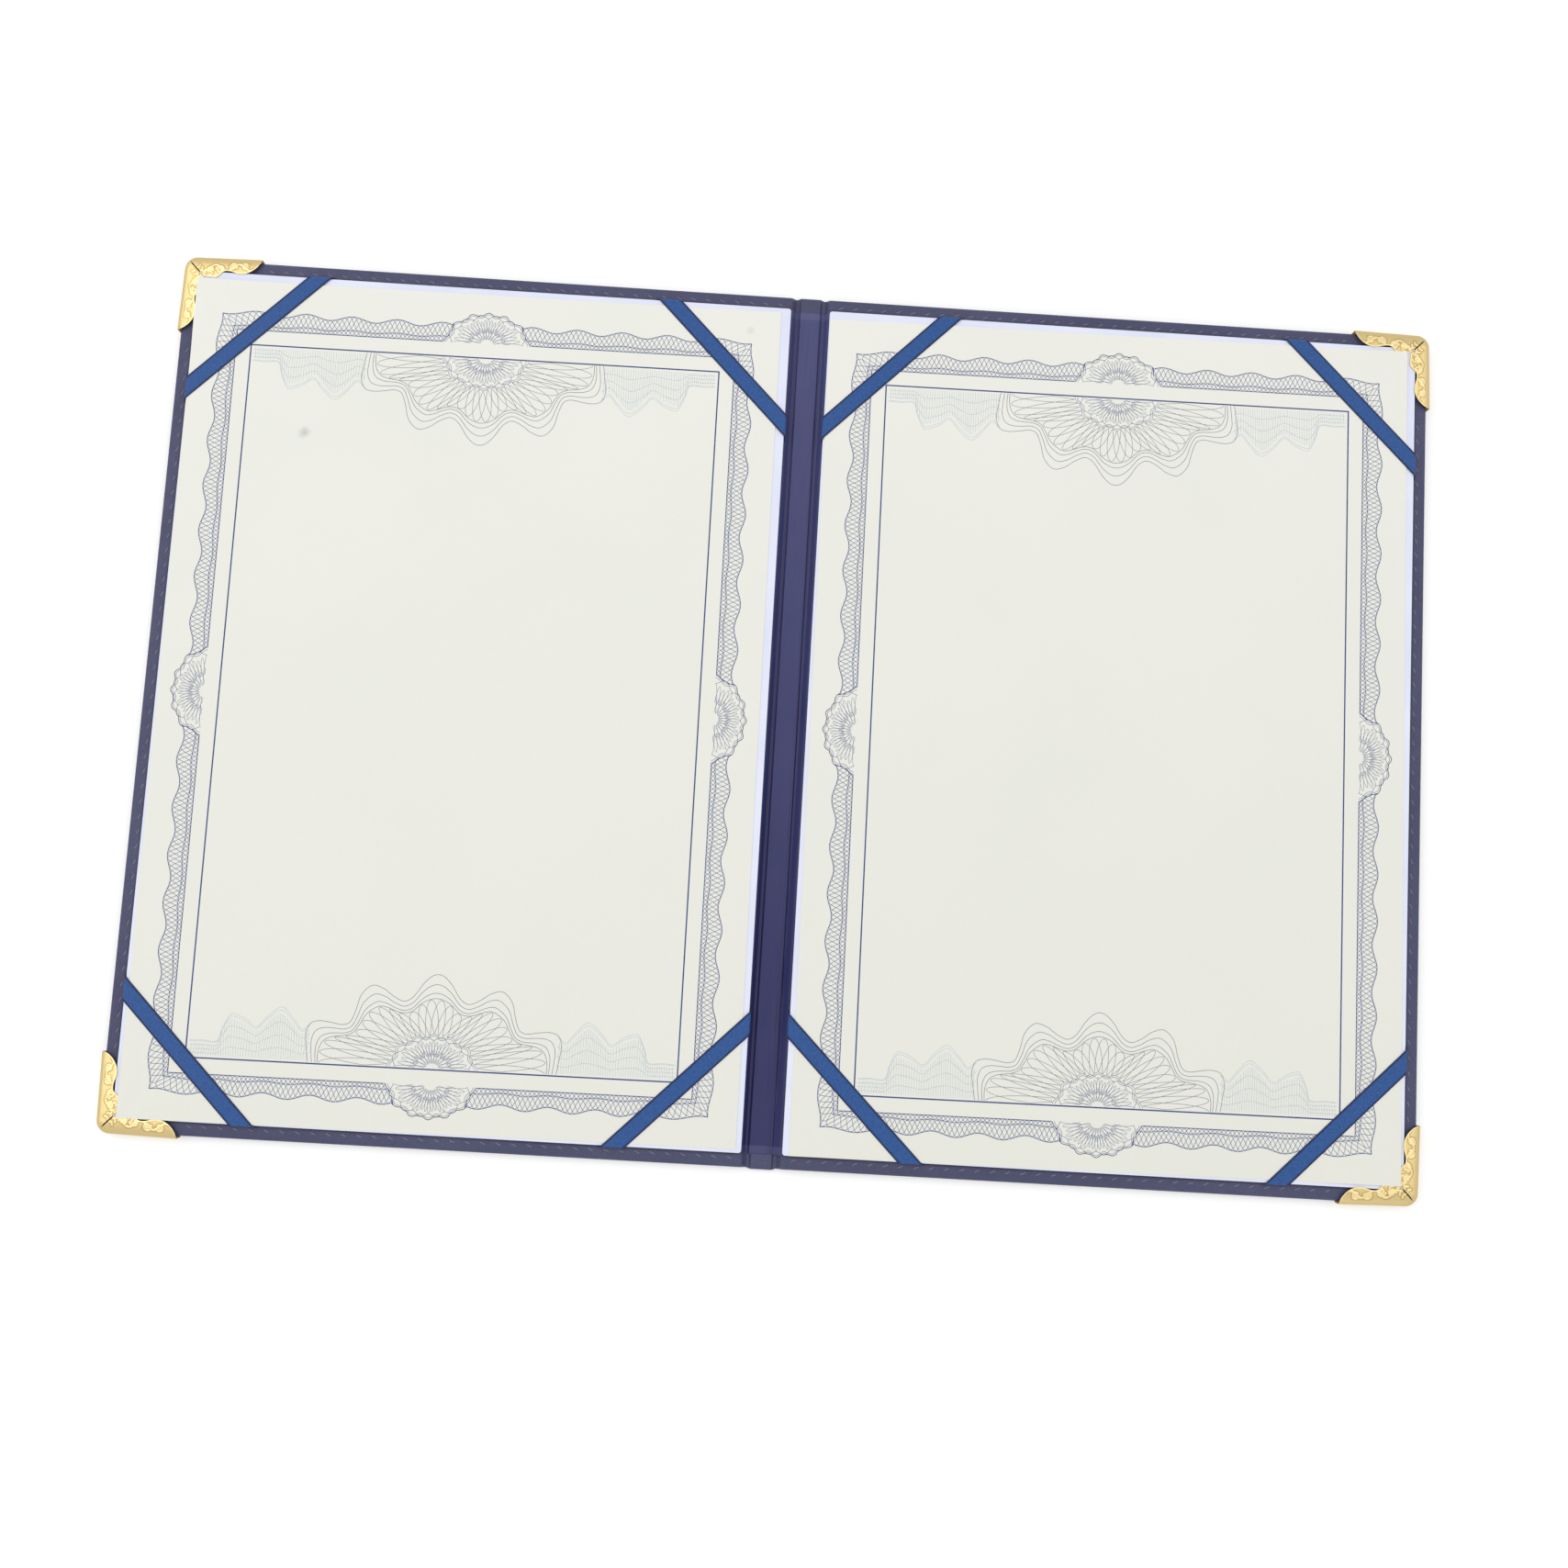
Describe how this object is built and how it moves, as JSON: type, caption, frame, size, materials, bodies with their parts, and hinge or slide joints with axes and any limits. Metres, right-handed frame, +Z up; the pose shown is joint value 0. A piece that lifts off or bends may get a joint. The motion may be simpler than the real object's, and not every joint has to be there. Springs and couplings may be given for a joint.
{
  "type": "diploma cover",
  "caption": "Padded hinged cover that opens flat, with a sheet under four corner ribbons on each inner panel, a flexible spine and metal outer corners.",
  "frame": {"origin": "middle of the spine, on the surface that the open cover lies on", "axes": "+X across the open cover to the outer edge of the back cover, +Y to the head of the sheets, +Z up out of the inner side"},
  "size_m": [0.4528, 0.3118, 0.0059],
  "materials": {
    "leatherette": "fine grained, semi-matt, navy",
    "lining": "smooth, semi-matt, violet navy",
    "foam": "soft foam, matt",
    "board": "grey board, matt",
    "panel": "smooth white card with a lilac cast",
    "certificate": "cream card, matt",
    "ink": "printed blue, matt",
    "frame_ink": "printed dark blue, matt",
    "pale_ink": "printed pale blue, matt",
    "satin": "woven satin tape, blue",
    "gilt": "stamped, bright gold colour"
  },
  "bodies": {
    "back_cover": {"back_cover_skin": "leatherette", "back_foam_pad": "foam", "back_board": "board", "back_spine_lining_wing": "lining", "back_lining_panel": "panel", "back_certificate": "certificate", "back_print_band": "ink", "back_print_frame": "frame_ink", "back_print_ornament_head": "pale_ink", "back_print_ornament_foot": "pale_ink", "back_ribbon_head_outer": "satin", "back_ribbon_head_spine": "satin", "back_ribbon_foot_outer": "satin", "back_ribbon_foot_spine": "satin", "back_corner_head": "gilt", "back_corner_foot": "gilt"},
    "front_cover": {"front_cover_skin": "leatherette", "front_foam_pad": "foam", "front_board": "board", "front_spine_lining_wing": "lining", "front_lining_panel": "panel", "front_certificate": "certificate", "front_print_band": "ink", "front_print_frame": "frame_ink", "front_print_ornament_head": "pale_ink", "front_print_ornament_foot": "pale_ink", "front_ribbon_head_outer": "satin", "front_ribbon_head_spine": "satin", "front_ribbon_foot_outer": "satin", "front_ribbon_foot_spine": "satin", "front_corner_head": "gilt", "front_corner_foot": "gilt"},
    "spine": {"spine_skin": "leatherette", "spine_stiffener": "board", "spine_lining": "lining"}
  },
  "joints": [
    {"name": "back_hinge", "type": "hinge", "parent": "back_cover", "child": "spine", "pos_m": [0.00465, 0, 0.0014], "axis": [0, 1, 0], "range_deg": [0, 90]},
    {"name": "front_hinge", "type": "hinge", "parent": "spine", "child": "front_cover", "pos_m": [-0.00465, 0, 0.0014], "axis": [0, 1, 0], "range_deg": [0, 90]}
  ]
}
